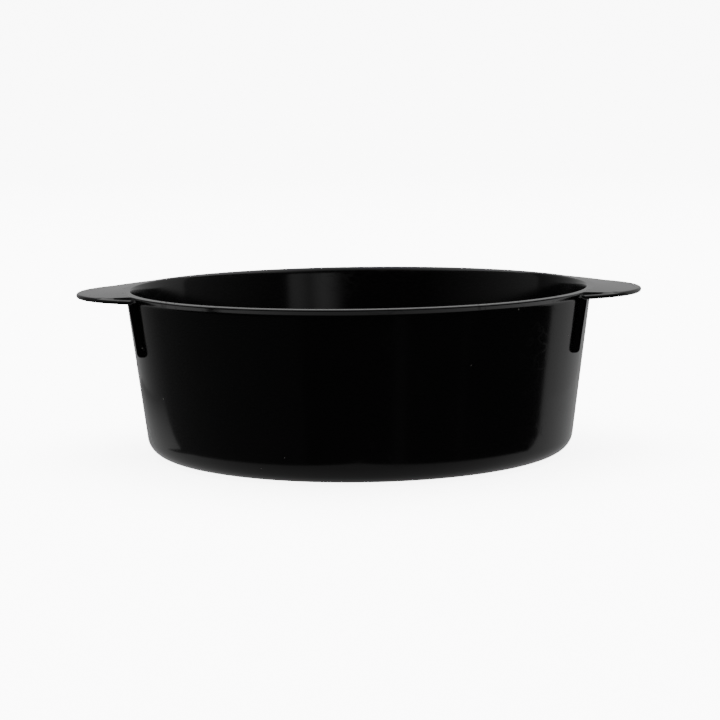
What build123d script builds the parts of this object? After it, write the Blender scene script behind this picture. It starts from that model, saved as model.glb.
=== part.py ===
"""A two-handled salon tint bowl: one moulded body and a soft non-slip ring pressed into its underside.

The origin is at the middle of the surface that the bowl stands on, +Z up, and the handles lie along X.
"""

from build123d import *
import os
from math import cos, radians, sin, sqrt, tan

# Driving dimensions, in millimetres and degrees.
height = 46.0  # top of the rim above the table
wall_top_radius = 65.0  # outside of the wall at the height of the underside of the handles
wall_taper = 7.1
wall_thickness = 1.6
floor_thickness = 2.0
base_corner_radius = 5.0  # outside corner between wall and base
inner_corner_radius = 6.0
body_lift = 0.3  # the moulded base stands this far off the table, on the soft ring

lip_radius = 66.4  # outermost part of the rim
lip_round = 0.25
lip_crest_radius = 64.2  # the rim is level from here out to its lip
rim_inner_round = 2.2  # depth of the round from the rim's top into the wall's inside
flare_blend = 1.5  # hollow blend between the wall and the 45 degree flare under the lip

handle_thickness = 1.3
handle_drop = 0.8  # the flat of the handles is this far below the top of the rim
ramp_radius = 74.0  # the handles slope down from the rim as far as this, then run level
handle_edge_round = 0.6

handle_reach = 79.4  # handle tip, from the bowl's axis
handle_end_radius = 29.0
handle_root_blend = 14.0
plate_radius = 65.0  # the handles' plate runs on round the rim at this radius, inside the flare

rib_offset = 24.8  # each rib stands this far to the side of the handle's middle
rib_thickness = 1.6
rib_length = 14.5
rib_reach = 61.8  # free edge of the rib at the handle, from the YZ plane
rib_foot_reach = 59.8  # and at its foot
rib_end_round = 1.2

grip_inner = 41.0
grip_outer = 47.0
grip_seat_depth = 1.2
grip_foot_round = 0.4

recess_radius = 36.0
recess_depth = 0.6
gate_radius = 2.2
gate_height = 0.4

# Derived places.
lean = tan(radians(wall_taper))
wall_across = wall_thickness / cos(radians(wall_taper))  # wall thickness measured level
handle_top = height - handle_drop
handle_underside = handle_top - handle_thickness
lip_centre = (lip_radius - lip_round, height - lip_round)
flare_top = (lip_centre[0] + lip_round * sqrt(0.5), lip_centre[1] - lip_round * sqrt(0.5))
inner_floor = body_lift + floor_thickness
seat_roof = body_lift + grip_seat_depth
standing = (Align.CENTER, Align.CENTER, Align.MIN)


def outer_radius(z):
    """Outside of the tapered wall at height z."""
    return wall_top_radius - lean * (handle_underside - z)


def inner_radius(z):
    """Inside of the tapered wall at height z."""
    return outer_radius(z) - wall_across


def corner_arc(radius, level, wall_radius):
    """Start, middle and end of an arc that rises from a level face and ends flush with the leaning wall."""
    centre_r = wall_radius(level + radius) - radius / cos(radians(wall_taper))
    centre_z = level + radius
    angles = (-90.0, (-90.0 - wall_taper) / 2, -wall_taper)
    return [(centre_r + radius * cos(radians(a)), centre_z + radius * sin(radians(a))) for a in angles]


def flare_arc():
    """Start, middle and end of the hollow arc that turns the wall's outside into the 45 degree flare."""
    taper = radians(wall_taper)
    half = sqrt(0.5)
    turned_out = flare_blend * ((cos(taper) - half) - lean * (half - sin(taper)))
    drop = (flare_top[0] - outer_radius(flare_top[1]) - turned_out) / (1 - lean)
    centre_r = flare_top[0] - drop + flare_blend * half
    centre_z = flare_top[1] - drop - flare_blend * half
    angles = (180 - wall_taper, (315 - wall_taper) / 2, 135)
    return [(centre_r + flare_blend * cos(radians(a)), centre_z + flare_blend * sin(radians(a))) for a in angles]


def tube(inner, outer, bottom, top):
    """A plain round tube between two heights."""
    walls = Cylinder(outer, top - bottom, align=standing) - Cylinder(inner, top - bottom, align=standing)
    return Pos(0, 0, bottom) * walls


def turned_bowl():
    """Floor, tapered wall and flared rim, turned round the axis from one outline."""
    outside = corner_arc(base_corner_radius, body_lift, outer_radius)
    inside = corner_arc(inner_corner_radius, inner_floor, inner_radius)
    flare = flare_arc()
    round_start = height - rim_inner_round
    round_foot = inner_radius(round_start)
    lip_side = (lip_radius, lip_centre[1])
    lip_top = (lip_centre[0], height)
    lip_crest = (lip_crest_radius, height)
    lines = [
        Line((0, body_lift), outside[0]),
        ThreePointArc(*outside),
        Line(outside[2], flare[0]),
        ThreePointArc(*flare),
        Line(flare[2], flare_top),
        ThreePointArc(flare_top, lip_side, lip_top),
        Line(lip_top, lip_crest),
        Spline(lip_crest, (round_foot, round_start), tangents=[(-1, 0), (-lean, -1)]),
        Line((round_foot, round_start), inside[2]),
        ThreePointArc(inside[2], inside[1], inside[0]),
        Line(inside[0], (0, inner_floor)),
        Line((0, inner_floor), (0, body_lift)),
    ]
    return revolve(make_face(Plane.XZ * (Curve() + lines)), axis=Axis.Z)


def handle_plan(inset):
    """Plan of both handles and the circle between them, drawn in from its edge all round."""
    tab_centre = handle_reach - handle_end_radius
    plan = Circle(plate_radius - inset)
    for side in (-1, 1):
        plan += Pos(side * tab_centre, 0) * Circle(handle_end_radius - inset)
    return fillet(plan.vertices(), handle_root_blend + inset)


def handle_plate():
    """Both handles as one plate with rounded edges, open over the bowl and buried in the flare between them. A ramp
    leads from the top of the rim down to the flat of each handle."""
    plate = Pos(0, 0, handle_underside) * extrude(handle_plan(0), handle_thickness)
    plate = fillet(plate.edges().filter_by(Axis.Z, reverse=True), handle_edge_round)
    ramp = Polyline(
        (lip_crest_radius, height),
        (lip_centre[0], height),
        (ramp_radius, handle_top),
        (ramp_radius, handle_top - handle_edge_round),
        (lip_crest_radius, handle_top - handle_edge_round),
        close=True,
    )
    plate += revolve(make_face(Plane.XZ * ramp), axis=Axis.Z) & extrude(handle_plan(handle_edge_round), height)
    return plate - Cylinder(wall_top_radius - wall_across / 2, 2 * height, align=standing)


def rib(side, flank):
    """An upright rib under the root of a handle, its free edge leaning a little more than the wall."""
    root = sqrt((wall_top_radius - wall_across / 2) ** 2 - rib_offset**2)  # inside the wall's thickness
    seat = handle_underside + handle_thickness / 2
    foot = handle_underside - rib_length
    outline = Polyline(
        (root, seat),
        (rib_reach, seat),
        (rib_reach, handle_underside),
        (rib_foot_reach, foot),
        (root - lean * rib_length, foot),
        close=True,
    )
    face = make_face(outline)
    free_corner = face.vertices().sort_by(Axis.Y)[:2].sort_by(Axis.X)[-1]
    face = fillet(free_corner, rib_end_round)
    blade = Plane.XZ * extrude(face, rib_thickness / 2, both=True)
    blade = Pos(0, flank * rib_offset, 0) * blade
    return blade if side > 0 else mirror(blade, about=Plane.YZ)


def moulded_body():
    """Bowl, rim, handles and ribs in one moulding, with the ring's seat and the gate mark underneath."""
    body = turned_bowl() + handle_plate()
    for side in (-1, 1):
        for flank in (-1, 1):
            body += rib(side, flank)
    body -= tube(grip_inner, grip_outer, body_lift - 1, seat_roof)
    body -= Cylinder(recess_radius, body_lift + recess_depth, align=standing)
    gate_bottom = body_lift + recess_depth - gate_height
    return body + Pos(0, 0, gate_bottom) * Cylinder(gate_radius, gate_height, align=standing)


def grip_ring():
    """The soft ring that the bowl stands on, its lower edges rounded."""
    ring = tube(grip_inner, grip_outer, 0, seat_roof)
    return fillet(ring.edges().group_by(Axis.Z)[0], grip_foot_round)


os.makedirs("parts", exist_ok=True)
export_step(moulded_body(), "parts/bowl_body.step")
export_step(grip_ring(), "parts/base_grip_ring.step")
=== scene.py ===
"""A gloss black salon tint bowl on a bright pale sweep, with cards and boards that only its gloss reflects.

Metres, +Z up, the handles along X. The camera stands on the -Y side. Outlines are worked out in millimetres
and become metres where they become meshes.
"""

import bpy
import numpy as np
from mathutils import Matrix, Vector


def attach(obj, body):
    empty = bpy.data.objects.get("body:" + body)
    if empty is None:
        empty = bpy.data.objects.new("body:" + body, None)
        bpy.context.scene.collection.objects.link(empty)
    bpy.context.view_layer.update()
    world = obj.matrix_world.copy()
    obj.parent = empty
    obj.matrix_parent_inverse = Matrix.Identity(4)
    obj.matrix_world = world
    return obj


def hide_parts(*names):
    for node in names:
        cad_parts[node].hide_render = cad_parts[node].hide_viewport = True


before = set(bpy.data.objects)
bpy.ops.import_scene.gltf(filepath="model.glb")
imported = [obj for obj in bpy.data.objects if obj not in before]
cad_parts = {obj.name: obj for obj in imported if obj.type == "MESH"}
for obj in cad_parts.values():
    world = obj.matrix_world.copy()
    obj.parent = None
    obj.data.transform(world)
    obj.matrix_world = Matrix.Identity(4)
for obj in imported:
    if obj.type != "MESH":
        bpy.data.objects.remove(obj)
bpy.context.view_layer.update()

MM = 0.001

# Sizes of the moulding, in millimetres and degrees, the same as the CAD's.
HEIGHT = 46.0
WALL_TOP_RADIUS = 65.0
WALL_TAPER = np.radians(7.1)
WALL_THICKNESS = 1.6
FLOOR_THICKNESS = 2.0
BASE_CORNER = 5.0
INNER_CORNER = 6.0
BODY_LIFT = 0.3
LIP_RADIUS = 66.4
LIP_ROUND = 0.25
LIP_CREST_RADIUS = 64.2
RAMP_RADIUS = 74.0
RIM_INNER_ROUND = 2.2
FLARE_BLEND = 1.5
HANDLE_THICKNESS = 1.3
HANDLE_DROP = 0.8
HANDLE_EDGE = 0.6
HANDLE_REACH = 79.4
HANDLE_END = 29.0
HANDLE_BLEND = 14.0
PLATE_RADIUS = 65.0
RIB_OFFSET = 24.8
RIB_THICKNESS = 1.6
RIB_LENGTH = 14.5
RIB_REACH = 61.8
RIB_FOOT_REACH = 59.8
RIB_END_ROUND = 1.2
RIB_EDGE_ROUND = 0.25
SEAT_INNER = 41.0
SEAT_OUTER = 47.0
SEAT_DEPTH = 1.2
RECESS_RADIUS = 36.0
RECESS_DEPTH = 0.6
GATE_RADIUS = 2.2
GATE_HEIGHT = 0.4

LEAN = np.tan(WALL_TAPER)
WALL_ACROSS = WALL_THICKNESS / np.cos(WALL_TAPER)
HANDLE_TOP = HEIGHT - HANDLE_DROP
HANDLE_UNDERSIDE = HANDLE_TOP - HANDLE_THICKNESS
LIP_CENTRE = (LIP_RADIUS - LIP_ROUND, HEIGHT - LIP_ROUND)
INNER_FLOOR = BODY_LIFT + FLOOR_THICKNESS
RECESS_ROOF = BODY_LIFT + RECESS_DEPTH

TURNS = 512  # columns round the bowl
CENTRE_GAP = 0.4  # outlines start and end this far from the axis, and a centre point closes them
GATE_SLOPE = 0.15  # the side of the gate mark leans by this much
RIM_LEAVES = (-1.3, 0.0)  # how the rim's inner round leaves the level crest
RIM_ARRIVES = (-LEAN * 3.0, -3.0)  # and how it arrives along the wall
OUT_STARTS = 0.4  # lip rows start to turn into handle rows where the plate is this far past its circle
OUT_SPAN = 1.6  # and have done so after this much more

# The rim's crest carries small nicks: above this height and this far from the axis, in metres.
NICKS_ABOVE = 0.0455
NICKS_AT = 0.0660
NICKS_SPREAD = 0.0004


def outer_radius(z):
    """Outside of the tapered wall at height z."""
    return WALL_TOP_RADIUS - LEAN * (HANDLE_UNDERSIDE - z)


def inner_radius(z):
    """Inside of the tapered wall at height z."""
    return outer_radius(z) - WALL_ACROSS


def straight(start, end, steps):
    """Points evenly spaced from start to end, leaving out end."""
    t = np.arange(steps)[:, None] / steps
    return np.array(start) * (1 - t) + np.array(end) * t


def edged(start, end, steps, edge=0.12):
    """Like straight, with one more point close to each end, so that the shading stays flat between crisp
    corners."""
    length = np.hypot(end[0] - start[0], end[1] - start[1])
    inner = np.linspace(0, 1, steps + 1)[1:-1]
    t = np.concatenate([[0.0, edge / length], inner, [1 - edge / length]])[:, None]
    return np.array(start) * (1 - t) + np.array(end) * t


def arc(centre, radius, first, last, steps):
    """Points on an arc between two angles in degrees, both ends kept."""
    a = np.radians(np.linspace(first, last, steps + 1))
    return np.stack([centre[0] + radius * np.cos(a), centre[1] + radius * np.sin(a)], 1)


def corner(radius, level, wall_radius, steps):
    """Arc from a level face up to the leaning wall: it touches both."""
    centre = (wall_radius(level + radius) - radius / np.cos(WALL_TAPER), level + radius)
    return arc(centre, radius, -90, -np.degrees(WALL_TAPER), steps)


def flare_arc(steps):
    """Hollow arc that turns the wall's outside into the 45 degree flare below the lip."""
    half = np.sqrt(0.5)
    top = (LIP_CENTRE[0] + LIP_ROUND * half, LIP_CENTRE[1] - LIP_ROUND * half)
    turned_out = FLARE_BLEND * ((np.cos(WALL_TAPER) - half) - LEAN * (half - np.sin(WALL_TAPER)))
    drop = (top[0] - outer_radius(top[1]) - turned_out) / (1 - LEAN)
    centre = (top[0] - drop + FLARE_BLEND * half, top[1] - drop - FLARE_BLEND * half)
    return arc(centre, FLARE_BLEND, 180 - np.degrees(WALL_TAPER), 135, steps)


def easing(start, end, start_way, end_way, steps):
    """Cubic from start to end that leaves along start_way and arrives along end_way, both ends kept."""
    t = np.linspace(0, 1, steps + 1)[:, None]
    start, end = np.array(start), np.array(end)
    return (
        start * (2 * t**3 - 3 * t**2 + 1)
        + np.array(start_way) * (t**3 - 2 * t**2 + t)
        + end * (3 * t**2 - 2 * t**3)
        + np.array(end_way) * (t**3 - t**2)
    )


def plate_reach(angle):
    """Distance from the axis to the edge of the handles' plate: the rim circle, a round tab each way along X,
    and the hollow arcs that blend them. Each is the polar equation of its circle, and angles fold into one
    quarter."""
    folded = np.abs((angle + np.pi / 2) % np.pi - np.pi / 2)
    tab_centre = HANDLE_REACH - HANDLE_END
    far, near = PLATE_RADIUS + HANDLE_BLEND, HANDLE_END + HANDLE_BLEND
    blend_x = (far**2 + tab_centre**2 - near**2) / (2 * tab_centre)
    blend_y = np.sqrt(far**2 - blend_x**2)
    rim_meet = np.arctan2(blend_y, blend_x)
    meet_x = tab_centre + HANDLE_END * (blend_x - tab_centre) / near
    tab_meet = np.arctan2(HANDLE_END * blend_y / near, meet_x)
    in_tab = np.clip(HANDLE_END**2 - (tab_centre * np.sin(folded)) ** 2, 0, None)
    tab = tab_centre * np.cos(folded) + np.sqrt(in_tab)
    turn = folded - rim_meet
    in_blend = np.clip(HANDLE_BLEND**2 - (far * np.sin(turn)) ** 2, 0, None)
    blend = far * np.cos(turn) - np.sqrt(in_blend)
    return np.where(folded < tab_meet, tab, np.where(folded < rim_meet, blend, PLATE_RADIUS))


def below_lip():
    """Outline (r, z) from the middle of the underside to the foot of the flare."""
    roof, seat = RECESS_ROOF, BODY_LIFT + SEAT_DEPTH
    gate = (GATE_RADIUS, roof - GATE_HEIGHT)
    base = corner(BASE_CORNER, BODY_LIFT, outer_radius, 14)
    return np.concatenate([
        edged((CENTRE_GAP, gate[1]), gate, 3),
        edged(gate, (GATE_RADIUS + GATE_SLOPE, roof), 1, 0.05),
        edged((GATE_RADIUS + GATE_SLOPE, roof), (RECESS_RADIUS, roof), 5),
        edged((RECESS_RADIUS, roof), (RECESS_RADIUS, BODY_LIFT), 1, 0.08),
        edged((RECESS_RADIUS, BODY_LIFT), (SEAT_INNER, BODY_LIFT), 2),
        edged((SEAT_INNER, BODY_LIFT), (SEAT_INNER, seat), 1),
        edged((SEAT_INNER, seat), (SEAT_OUTER, seat), 1),
        edged((SEAT_OUTER, seat), (SEAT_OUTER, BODY_LIFT), 1),
        edged((SEAT_OUTER, BODY_LIFT), base[0], 2),
        base,
        straight(base[-1], flare_arc(9)[0], 24)[1:],
    ])


def inside_lip():
    """Outline (r, z) from just past the crest of the lip, down the inside, to the middle of the floor."""
    round_start = HEIGHT - RIM_INNER_ROUND
    round_foot = (inner_radius(round_start), round_start)
    floor = corner(INNER_CORNER, INNER_FLOOR, inner_radius, 14)[::-1]
    return np.concatenate([
        straight((LIP_CENTRE[0], HEIGHT), (LIP_CREST_RADIUS, HEIGHT), 3)[1:],
        easing((LIP_CREST_RADIUS, HEIGHT), round_foot, RIM_LEAVES, RIM_ARRIVES, 16),
        straight(round_foot, floor[0], 24)[1:],
        floor,
        straight(floor[-1], (CENTRE_GAP, INNER_FLOOR), 10)[1:],
    ])


def lip_rows():
    """The flare and lip between the handles, (r, z): hollow arc, 45 degree flare, round lip up to the crest."""
    flare = flare_arc(9)
    lip = arc(LIP_CENTRE, LIP_ROUND, -45, 90, 20)
    return np.concatenate([flare, straight(flare[-1], lip[0], 6)[1:], lip])


def handle_rows():
    """The same rows where a handle stands out, (r, z, share, push): share 0 keeps r, share 1 puts the point
    on the plate's edge, and push moves it off that edge."""
    flare = flare_arc(9)
    flare[:, 1] = np.minimum(flare[:, 1], HANDLE_UNDERSIDE)
    half = HANDLE_THICKNESS / 2 - HANDLE_EDGE
    middle = HANDLE_UNDERSIDE + HANDLE_THICKNESS / 2
    lower = arc((-HANDLE_EDGE, middle - half), HANDLE_EDGE, -90, 0, 5)
    upper = arc((-HANDLE_EDGE, middle + half), HANDLE_EDGE, 0, 90, 5)
    start = flare[-1][0]
    rows = [(r, z, 0.0, 0.0) for r, z in flare]
    rows += [(start, HANDLE_UNDERSIDE, share, -HANDLE_EDGE) for share in (0.3, 0.6, 0.85)]
    rows += [(0.0, z, 1.0, push) for push, z in np.concatenate([lower, upper])]
    rows += [(LIP_RADIUS, HANDLE_TOP, share, -HANDLE_EDGE) for share in (0.8, 0.5, 0.2, 0.02)]
    rows += [(r, HANDLE_TOP, 0.0, 0.0) for r in np.linspace(LIP_RADIUS, LIP_CENTRE[0], 7)]
    return np.array(rows)


def swept_body():
    """Vertices and faces of the moulding. Every outline point (r, z) turns round the axis. The lip's rows
    blend into the handle's rows where the plate reaches past the lip: a handle row lies at
    (1 - share) * r * (cos a, sin a) + share * (edge(a) + push * outward normal of the edge at a), and its top
    climbs a ramp to the rim."""
    angle = np.linspace(0, 2 * np.pi, TURNS, endpoint=False)
    ray = np.stack([np.cos(angle), np.sin(angle)], 1)
    reach = plate_reach(angle)
    edge = reach[:, None] * ray
    along = np.roll(edge, -1, 0) - np.roll(edge, 1, 0)
    normal = np.stack([along[:, 1], -along[:, 0]], 1) / np.linalg.norm(along, axis=1)[:, None]

    def turned(rows):
        flat = rows[:, 0][:, None, None] * ray[None]
        level = np.broadcast_to(rows[:, 1][:, None, None], flat.shape[:2] + (1,))
        return np.concatenate([flat, level], 2)

    rows = handle_rows()
    r, z, share, push = (rows[:, k][:, None, None] for k in range(4))
    flat = (1 - share) * r * ray[None] + share * (edge[None] + push * normal[None])
    from_axis = np.linalg.norm(flat, axis=2, keepdims=True)
    climb = (RAMP_RADIUS - from_axis) / (RAMP_RADIUS - LIP_CENTRE[0])
    lifted = z + HANDLE_DROP * np.clip(climb, 0, 1) * (z >= HANDLE_TOP - 1e-6)
    handle = np.concatenate([flat, lifted], 2)
    out = np.clip((reach - PLATE_RADIUS - OUT_STARTS) / OUT_SPAN, 0, 1)
    out = (out * out * (3 - 2 * out))[None, :, None]
    lip = (1 - out) * turned(lip_rows()) + out * handle
    return closed_grid(np.concatenate([turned(below_lip()), lip, turned(inside_lip())]) * MM)


def closed_grid(verts):
    """Faces for rows of points that each close on themselves, with a centre point capping the first and last
    row."""
    rows, cols = verts.shape[:2]
    index = np.arange(rows * cols).reshape(rows, cols)
    ahead = np.roll(index, -1, 1)
    quads = np.stack([index[:-1], ahead[:-1], ahead[1:], index[1:]], 2).reshape(-1, 4)
    first, last = rows * cols, rows * cols + 1
    bottom = np.stack([np.full(cols, first), ahead[0], index[0]], 1)
    top = np.stack([np.full(cols, last), index[-1], ahead[-1]], 1)
    caps = [verts[0].mean(0)[None], verts[-1].mean(0)[None]]
    points = np.concatenate([verts.reshape(-1, 3), *caps])
    return points, quads.tolist() + bottom.tolist() + top.tolist()


def rib_slab(side, flank):
    """An upright rib as a rounded slab. Rows go through its thickness, drawn in by the edge round at both
    faces; each row is the rib's outline in the XZ plane: up the hidden root, out under the handle, down the
    free edge."""
    seat, foot = HANDLE_UNDERSIDE + 0.3, HANDLE_UNDERSIDE - RIB_LENGTH
    root = np.sqrt((WALL_TOP_RADIUS - WALL_ACROSS / 2) ** 2 - RIB_OFFSET**2)
    turn = arc((RIB_FOOT_REACH - RIB_END_ROUND, foot + RIB_END_ROUND), RIB_END_ROUND, 0, -90, 10)
    outline = np.concatenate([
        straight((root - LEAN * RIB_LENGTH, foot), (root, seat), 6),
        straight((root, seat), (RIB_REACH, seat), 3),
        straight((RIB_REACH, seat), turn[0], 8),
        turn,
    ])
    centre = outline.mean(0)
    lean_in = np.linspace(0, np.pi / 2, 6)
    inset = RIB_EDGE_ROUND * (1 - np.sin(lean_in))
    depth = RIB_THICKNESS / 2 - RIB_EDGE_ROUND * (1 - np.cos(lean_in))
    inset = np.concatenate([[1.2, 0.6], inset, inset[::-1], [0.6, 1.2]])
    depth = np.concatenate([[depth[0]] * 2, depth, -depth[::-1], [-depth[0]] * 2])
    way = centre - outline
    way /= np.linalg.norm(way, axis=1)[:, None]
    flat = outline[None] + inset[:, None, None] * way[None]
    x = side * flat[..., 0]
    y = flank * RIB_OFFSET + side * depth[:, None] * np.ones(len(outline))
    return closed_grid(np.stack([x, y, flat[..., 1]], 2) * MM)


def add_mesh(name, points, faces, material=None, smooth_below=None):
    """A mesh object from an array of points and a list of faces."""
    mesh = bpy.data.meshes.new(name)
    mesh.from_pydata(points.tolist(), [], faces)
    mesh.validate()
    mesh.update()
    mesh.polygons.foreach_set("use_smooth", np.ones(len(mesh.polygons), bool))
    if smooth_below:
        mesh.set_sharp_from_angle(angle=np.radians(smooth_below))
    obj = bpy.data.objects.new(name, mesh)
    bpy.context.scene.collection.objects.link(obj)
    if material:
        mesh.materials.append(material)
    return obj


# Shader building.
def group(name, inputs, outputs):
    """An empty node group with float, colour and vector sockets, and its input and output nodes."""
    kinds = {"f": "NodeSocketFloat", "c": "NodeSocketColor", "v": "NodeSocketVector"}
    tree = bpy.data.node_groups.new(name, "ShaderNodeTree")
    for label, kind, value in inputs:
        socket = tree.interface.new_socket(label, in_out="INPUT", socket_type=kinds[kind])
        if value is not None:
            socket.default_value = value
    for label, kind in outputs:
        tree.interface.new_socket(label, in_out="OUTPUT", socket_type=kinds[kind])
    return tree, tree.nodes.new("NodeGroupInput"), tree.nodes.new("NodeGroupOutput")


def node(tree, kind, settings=None, **sockets):
    """A node with its settings, and its inputs set or linked: i0, i1 and so on by number, others by name."""
    made = tree.nodes.new(kind)
    for key, value in (settings or {}).items():
        setattr(made, key, value)
    for key, value in sockets.items():
        numbered = key[0] == "i" and key[1:].isdigit()
        socket = made.inputs[int(key[1:]) if numbered else key.replace("_", " ")]
        if isinstance(value, bpy.types.NodeSocket):
            tree.links.new(value, socket)
        else:
            socket.default_value = value
    return made


def maths(tree, operation, *values):
    """Output of a Math node on up to three numbers or sockets."""
    sockets = {f"i{k}": value for k, value in enumerate(values)}
    return node(tree, "ShaderNodeMath", {"operation": operation}, **sockets).outputs[0]


def specks_group():
    """Dust and lint: small pale flecks of random size, thinned out so that only some cells hold one."""
    tree, given, result = group(
        "dust_specks",
        [("Vector", "v", None), ("Scale", "f", 260.0), ("Size", "f", 0.1), ("Amount", "f", 0.1)],
        [("Mask", "f")],
    )
    place, scale = given.outputs["Vector"], given.outputs["Scale"]
    cells = node(tree, "ShaderNodeTexVoronoi", {"feature": "F1"}, Vector=place, Scale=scale)
    split = node(tree, "ShaderNodeSeparateColor", Color=cells.outputs["Color"])
    chosen = maths(tree, "LESS_THAN", split.outputs["Red"], given.outputs["Amount"])
    radius = maths(tree, "MULTIPLY", split.outputs["Green"], given.outputs["Size"])
    inside = maths(tree, "LESS_THAN", cells.outputs["Distance"], radius)
    tree.links.new(maths(tree, "MULTIPLY", chosen, inside), result.inputs["Mask"])
    return tree


def scratches_group():
    """Hairline scratches: thin threads of a stretched, turned noise, present in patches."""
    tree, given, result = group(
        "hairline_scratches",
        [("Vector", "v", None), ("Scale", "f", 60.0), ("Width", "f", 0.012)],
        [("Mask", "f")],
    )
    place, scale = given.outputs["Vector"], given.outputs["Scale"]
    lines = []
    for turn, stretch in ((0.35, 0.05), (1.25, 0.08), (2.3, 0.06)):
        turned = node(tree, "ShaderNodeMapping", Vector=place)
        turned.inputs["Rotation"].default_value = (turn, turn * 1.7, turn * 0.6)
        turned.inputs["Scale"].default_value = (1.0, stretch, 1.0)
        threads = node(tree, "ShaderNodeTexNoise", Vector=turned.outputs[0], Scale=scale, Detail=2.0)
        off = maths(tree, "ABSOLUTE", maths(tree, "SUBTRACT", threads.outputs[0], 0.5))
        lines.append(maths(tree, "LESS_THAN", off, given.outputs["Width"]))
    every = maths(tree, "MAXIMUM", maths(tree, "MAXIMUM", lines[0], lines[1]), lines[2])
    patches = node(tree, "ShaderNodeTexNoise", Vector=place, Scale=38.0, Detail=2.0)
    where = node(tree, "ShaderNodeMapRange", Value=patches.outputs[0], From_Min=0.5, From_Max=0.68)
    tree.links.new(maths(tree, "MULTIPLY", every, where.outputs[0]), result.inputs["Mask"])
    return tree


def new_material(name):
    """A material with only a Principled BSDF and an output in its tree, and Object coordinates ready."""
    made = bpy.data.materials.new(name)
    made.use_nodes = True
    tree = made.node_tree
    tree.nodes.clear()
    shader = tree.nodes.new("ShaderNodeBsdfPrincipled")
    output = tree.nodes.new("ShaderNodeOutputMaterial")
    tree.links.new(shader.outputs[0], output.inputs["Surface"])
    place = tree.nodes.new("ShaderNodeTexCoord").outputs["Object"]
    return made, tree, shader, place


def effect(tree, effect_group, place, **values):
    """Mask of one use of an effect group on a material."""
    made = node(tree, "ShaderNodeGroup", {"node_tree": effect_group}, Vector=place)
    for key, value in values.items():
        made.inputs[key].default_value = value
    return made.outputs["Mask"]


def dusty_colour(tree, mask, clean, dusty):
    """The clean colour where the mask is 0 and the dusty one where it is 1."""
    mix = node(tree, "ShaderNodeMix", {"data_type": "RGBA"}, Factor=mask, i6=clean, i7=dusty)
    return mix.outputs[2]


def rim_nicks(tree, place):
    """Small nicks: patches of noise, kept to the crest of the rim by height and by distance from the axis."""
    height = node(tree, "ShaderNodeSeparateXYZ", Vector=place).outputs["Z"]
    crest = maths(tree, "GREATER_THAN", height, NICKS_ABOVE)
    flat = node(tree, "ShaderNodeVectorMath", {"operation": "MULTIPLY"}, i0=place, i1=(1.0, 1.0, 0.0))
    reach = node(tree, "ShaderNodeVectorMath", {"operation": "LENGTH"}, i0=flat.outputs["Vector"])
    on_lip = maths(tree, "COMPARE", reach.outputs["Value"], NICKS_AT, NICKS_SPREAD)
    patches = node(tree, "ShaderNodeTexNoise", Vector=place, Scale=210.0, Detail=2.0)
    rare = node(tree, "ShaderNodeMapRange", Value=patches.outputs[0], From_Min=0.60, From_Max=0.72)
    return maths(tree, "MULTIPLY", maths(tree, "MULTIPLY", crest, on_lip), rare.outputs[0])


def gloss_plastic(specks, scratches):
    """Gloss black polypropylene: faint flow waviness, hairlines that only dull the shine, a little dust, and
    nicks along the rim."""
    made, tree, shader, place = new_material("gloss_black_plastic")
    dust = effect(tree, specks, place, Scale=480.0, Size=0.13, Amount=0.06)
    lines = effect(tree, scratches, place, Scale=70.0, Width=0.006)
    cloud = node(tree, "ShaderNodeTexNoise", Vector=place, Scale=22.0, Detail=3.0)
    gloss = node(tree, "ShaderNodeMapRange", Value=cloud.outputs[0], To_Min=0.10, To_Max=0.16)
    dulled = maths(tree, "MULTIPLY_ADD", lines, 0.12, gloss.outputs[0])
    rough = maths(tree, "MULTIPLY_ADD", dust, 0.5, dulled)
    colour = dusty_colour(tree, dust, (0.0009, 0.0009, 0.00095, 1), (0.05, 0.047, 0.043, 1))
    wave = node(tree, "ShaderNodeTexNoise", Vector=place, Scale=34.0, Detail=1.0)
    bump = node(tree, "ShaderNodeBump", Height=wave.outputs[0], Strength=0.25, Distance=0.00012)
    dented = node(tree, "ShaderNodeBump", {"invert": True}, Height=rim_nicks(tree, place), Strength=0.6,
                  Distance=0.00015, Normal=bump.outputs[0])
    tree.links.new(colour, shader.inputs["Base Color"])
    tree.links.new(rough, shader.inputs["Roughness"])
    tree.links.new(dented.outputs[0], shader.inputs["Normal"])
    shader.inputs["IOR"].default_value = 1.49
    return made


def soft_rubber(specks):
    """Matte soft rubber with a fine grain and dust."""
    made, tree, shader, place = new_material("soft_grip_rubber")
    dust = effect(tree, specks, place, Scale=500.0, Size=0.2, Amount=0.2)
    grain = node(tree, "ShaderNodeTexNoise", Vector=place, Scale=900.0, Detail=3.0)
    colour = dusty_colour(tree, dust, (0.03, 0.03, 0.032, 1), (0.2, 0.19, 0.18, 1))
    rough = node(tree, "ShaderNodeMapRange", Value=grain.outputs[0], To_Min=0.6, To_Max=0.85)
    bump = node(tree, "ShaderNodeBump", Height=grain.outputs[0], Strength=0.4, Distance=0.0001)
    tree.links.new(colour, shader.inputs["Base Color"])
    tree.links.new(rough.outputs[0], shader.inputs["Roughness"])
    tree.links.new(bump.outputs[0], shader.inputs["Normal"])
    return made


# The bowl: its surface and ribs stand for the moulded body, and the soft ring stays as it is.
specks = specks_group()
plastic = gloss_plastic(specks, scratches_group())
rubber = soft_rubber(specks)

bowl = add_mesh("bowl_surface", *swept_body(), plastic, smooth_below=38)
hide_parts("bowl_body")
visual = [bowl]
for side_name, side in (("left", -1), ("right", 1)):
    for flank_name, flank in (("front", -1), ("back", 1)):
        rib_name = f"rib_{side_name}_{flank_name}"
        visual.append(add_mesh(rib_name, *rib_slab(side, flank), plastic, smooth_below=60))
for piece in visual:
    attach(piece, "root")

ring = bpy.data.objects["base_grip_ring"]
ring.data.materials.clear()
ring.data.materials.append(rubber)

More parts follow.
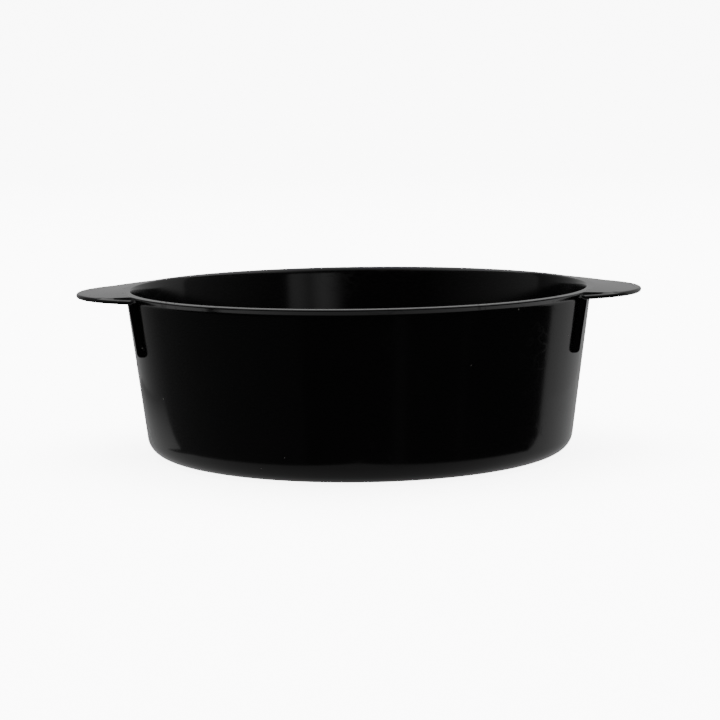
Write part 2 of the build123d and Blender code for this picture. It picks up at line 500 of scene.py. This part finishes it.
# Stage, in metres: a pale glowing sweep for the eye, and cards and boards that only the gloss sees.
PALE = 0.94
PALE_GLOW = 7.0  # brightness of the sweep, and of the air beyond it where the camera looks at it
FLOOR_LEVEL = -0.00005  # just clear of the ring, so that the two faces do not coincide
SWEEP_SIDE = 4.0
SWEEP_FRONT = -2.5
SWEEP_BEND = (2.2, 0.9)  # centre of the bend, along Y and up
SWEEP_WALL = (3.1, 3.5)  # top of the wall, along Y and up
SURROUND_RADIUS = 1.6  # the curved cards stand this far from the bowl's axis
BOARD_LEVEL = 0.0001
BOARD_REACH = 0.0700  # front of the white board, from the bowl's axis
BOARD_PEAK = 0.0036  # and how much further it comes in the middle
BOARD_PEAK_FADE = 0.22  # the peak dies away over this angle, in radians
BOARD_SIDE = -0.066  # where the white board ends and the left board takes over
OVERHEAD_LEVEL = 1.5


def seen_only_in_gloss(card):
    """Keep a card out of the direct view and out of the soft light."""
    card.visible_camera = False
    card.visible_diffuse = False
    card.visible_shadow = False
    card.visible_transmission = False


def flat_card(name, corners, material):
    """A flat card with these corners."""
    card = add_mesh(name, np.array(corners, float), [list(range(len(corners)))], material)
    seen_only_in_gloss(card)


def curved_card(name, first, last, low, high, material):
    """Upright card bent round the bowl's axis between two angles from +X, in degrees."""
    steps = 60
    angle = np.radians(np.linspace(first, last, steps))
    line = SURROUND_RADIUS * np.stack([np.cos(angle), np.sin(angle)], 1)
    verts = np.concatenate([np.pad(line, ((0, 0), (0, 1)), constant_values=z) for z in (low, high)])
    i = np.arange(steps - 1)[:, None]
    faces = np.concatenate([i, i + 1, i + steps + 1, i + steps], 1).tolist()
    card = add_mesh(name, verts, faces, material)
    seen_only_in_gloss(card)


def sweep():
    """Floor that curves up into a backdrop: rows run along X, and step along floor, bend and wall."""
    bend = arc(SWEEP_BEND, SWEEP_BEND[1], -90, 0, 24)
    path = np.concatenate([straight((SWEEP_FRONT, 0), bend[0], 6), bend, [SWEEP_WALL]])
    x = np.broadcast_to(np.array([-SWEEP_SIDE, SWEEP_SIDE]), (len(path), 2))
    y, z = (np.broadcast_to(path[:, k:k + 1], (len(path), 2)) for k in (0, 1))
    i = np.arange(len(path) - 1)[:, None] * 2
    faces = np.concatenate([i, i + 1, i + 3, i + 2], 1)
    return np.stack([x, y, z + FLOOR_LEVEL], 2).reshape(-1, 3), faces.tolist()


def board_outline():
    """White board under the bowl: a round front with a slight peak towards the camera, and square behind.
    Along the front, the reach from the axis is BOARD_REACH plus a peak that dies away to both sides."""
    angle = np.radians(np.linspace(-148, -32, 59))
    reach = BOARD_REACH + BOARD_PEAK * np.exp(-np.abs(angle + np.pi / 2) / BOARD_PEAK_FADE)
    front = np.stack([reach * np.cos(angle), reach * np.sin(angle)], 1)
    back = np.array([(0.113, -0.004), (0.113, 0.10), (BOARD_SIDE, 0.10), (BOARD_SIDE, -0.02)])
    return np.pad(np.concatenate([front, back]), ((0, 0), (0, 1)), constant_values=BOARD_LEVEL)


def stage_material(name, base, glow_colour, glow):
    """Matte material without shine, its glow even unless a pattern is linked to it."""
    made, tree, shader, place = new_material(name)
    shader.inputs["Base Color"].default_value = (base, base, base, 1)
    shader.inputs["Specular IOR Level"].default_value = 0.0
    shader.inputs["Emission Color"].default_value = (glow_colour, glow_colour, glow_colour, 1)
    shader.inputs["Emission Strength"].default_value = glow
    return made, tree, shader, node(tree, "ShaderNodeSeparateXYZ", Vector=place)


def link_glow(tree, shader, level):
    """Let one brightness drive the glow's three channels."""
    grey = node(tree, "ShaderNodeCombineColor", Red=level, Green=level, Blue=level)
    tree.links.new(grey.outputs[0], shader.inputs["Emission Color"])


def even_glow(name, glow):
    """The same glow all over."""
    return stage_material(name, 0.0, 1.0, glow)[0]


def fading_glow(name, axis, start, end, dim, bright, power=1.0):
    """Glow that grows along one axis from dim at start to bright at end, by the share of the way to a power."""
    made, tree, shader, split = stage_material(name, 0.0, 1.0, 1.0)
    share = node(tree, "ShaderNodeMapRange", Value=split.outputs[axis], From_Min=start, From_Max=end)
    curve = maths(tree, "POWER", share.outputs[0], power)
    level = node(tree, "ShaderNodeMapRange", Value=curve, To_Min=dim, To_Max=bright)
    link_glow(tree, shader, level.outputs[0])
    return made


def patch_glow(name, middle, half_width, bright):
    """Glow that is brightest at one angle round the axis from +X, in degrees, and fades to both sides."""
    made, tree, shader, split = stage_material(name, 0.0, 1.0, 1.0)
    turn = maths(tree, "ARCTAN2", split.outputs["Y"], split.outputs["X"])
    away = maths(tree, "ABSOLUTE", maths(tree, "SUBTRACT", turn, np.radians(middle)))
    level = node(tree, "ShaderNodeMapRange", {"interpolation_type": "SMOOTHSTEP"}, Value=away,
                 From_Min=np.radians(half_width), From_Max=0.0, To_Min=0.0, To_Max=bright)
    link_glow(tree, shader, level.outputs[0])
    return made


floor = add_mesh("pale_sweep", *sweep(), stage_material("pale_sweep", PALE, PALE, PALE_GLOW)[0])
floor.visible_glossy = False
floor.visible_diffuse = False

# Low boards: their reflection is the light band round the foot and under the rim.
flat_card("white_board", board_outline(), fading_glow("board_white", "Y", -0.068, -0.045, 0.26, 0.45))
left_board = [(BOARD_SIDE, -0.03, BOARD_LEVEL), (BOARD_SIDE, 0.10, BOARD_LEVEL), (-0.115, 0.10, BOARD_LEVEL),
              (-0.115, 0.007, BOARD_LEVEL)]
flat_card("white_board_left", left_board, fading_glow("board_left_glow", "X", -0.112, BOARD_SIDE, 0.17, 0.45))

# Surround: light at the back and on both sides of the bowl, two faint streaks low on the right.
curved_card("back_surround", 19, 158, -0.9, 1.2, fading_glow("back_glow", "X", -1.48, -0.5, 0.09, 0.42))
curved_card("left_surround", 158, 242, -0.9, 0.03, fading_glow("left_glow", "Y", -1.41, 0.6, 0.04, 0.09))
curved_card("right_upper", -50, 19, 0.03, 0.7, fading_glow("right_upper_glow", "Y", -1.22, 0.3, 0.03, 0.16))
curved_card("left_upper", 158, 230, 0.031, 0.8, fading_glow("left_upper_glow", "Y", -1.22, 0.3, 0.03, 0.26))
curved_card("right_streak_wide", -72, -66, -0.9, -0.15, even_glow("streak_wide", 0.05))
curved_card("right_streak_slim", -38, -34, -0.9, -0.15, even_glow("streak_slim", 0.035))

# Overhead light for the rim and handles, and two cards at the front for the patches inside the back wall.
overhead = [(-2.5, -3.4, OVERHEAD_LEVEL), (2.5, -3.4, OVERHEAD_LEVEL), (2.5, 1.5, OVERHEAD_LEVEL),
            (-2.5, 1.5, OVERHEAD_LEVEL)]
flat_card("overhead_card", overhead, fading_glow("overhead_glow", "Y", -3.4, -0.2, 0.03, 1.8, power=1.6))
curved_card("front_card_near", -84, -62, 0.16, 0.50, patch_glow("front_near_glow", -70, 14, 0.58))
curved_card("front_card_far", -62, -38, 0.16, 0.50, patch_glow("front_far_glow", -54, 16, 0.5))


def softbox(name, place, aim, size, watts):
    """A square area light turned towards aim, kept out of view and out of reflections."""
    lamp = bpy.data.lights.new(name, "AREA")
    lamp.size = size
    lamp.energy = watts
    obj = bpy.data.objects.new(name, lamp)
    bpy.context.scene.collection.objects.link(obj)
    obj.location = place
    obj.rotation_euler = (Vector(place) - Vector(aim)).to_track_quat("Z", "Y").to_euler()
    obj.visible_glossy = False
    obj.visible_camera = False


softbox("top_softbox", (0.0, 0.15, 1.4), (0, 0, 0.02), 1.6, 40.0)
softbox("floor_wash", (0.0, 1.0, 2.4), (0, 1.0, 0), 3.0, 210.0)

# Air: soft light all round, almost dark where the gloss reflects it, and as bright as the sweep to the eye.
SOFT_LIGHT = 1.18
GLOSS_DARK = 0.02
world = bpy.data.worlds.new("studio_air")
bpy.context.scene.world = world
world.use_nodes = True
air = world.node_tree
air.nodes.clear()
ray = air.nodes.new("ShaderNodeLightPath").outputs


def mixed_air(factor, first, second):
    """One background where the factor is 0, the other where it is 1."""
    return node(air, "ShaderNodeMixShader", i0=factor, i1=first, i2=second).outputs[0]


lit, dark, seen = (
    node(air, "ShaderNodeBackground", Color=(1, 1, 1, 1), Strength=strength).outputs[0]
    for strength in (SOFT_LIGHT, GLOSS_DARK, PALE_GLOW)
)
shown = mixed_air(ray["Is Camera Ray"], mixed_air(ray["Is Glossy Ray"], lit, dark), seen)
air.links.new(shown, air.nodes.new("ShaderNodeOutputWorld").inputs["Surface"])

# Camera: low on the -Y side and a touch towards the right-hand handle, aimed below the rim, slightly rolled.
DISTANCE = 0.5525  # from the middle of the rim
ELEVATION = np.radians(5.2)
AZIMUTH = np.radians(0.7)
ROLL = np.radians(-0.74)
AIM = Vector((0.0002, 0.0, 0.02485))
FOCAL_LENGTH = 97.95
SENSOR_WIDTH = 36.0

lens = bpy.data.cameras.new("camera")
lens.lens = FOCAL_LENGTH
lens.sensor_width = SENSOR_WIDTH
lens.clip_start = 0.01
camera = bpy.data.objects.new("camera", lens)
bpy.context.scene.collection.objects.link(camera)
away = DISTANCE * np.cos(ELEVATION)
above = HEIGHT * MM + DISTANCE * np.sin(ELEVATION)
eye = Vector((away * np.sin(AZIMUTH), -away * np.cos(AZIMUTH), above))
turn = (eye - AIM).to_track_quat("Z", "Y").to_matrix() @ Matrix.Rotation(ROLL, 3, "Z")
camera.matrix_world = Matrix.Translation(eye) @ turn.to_4x4()
bpy.context.scene.camera = camera
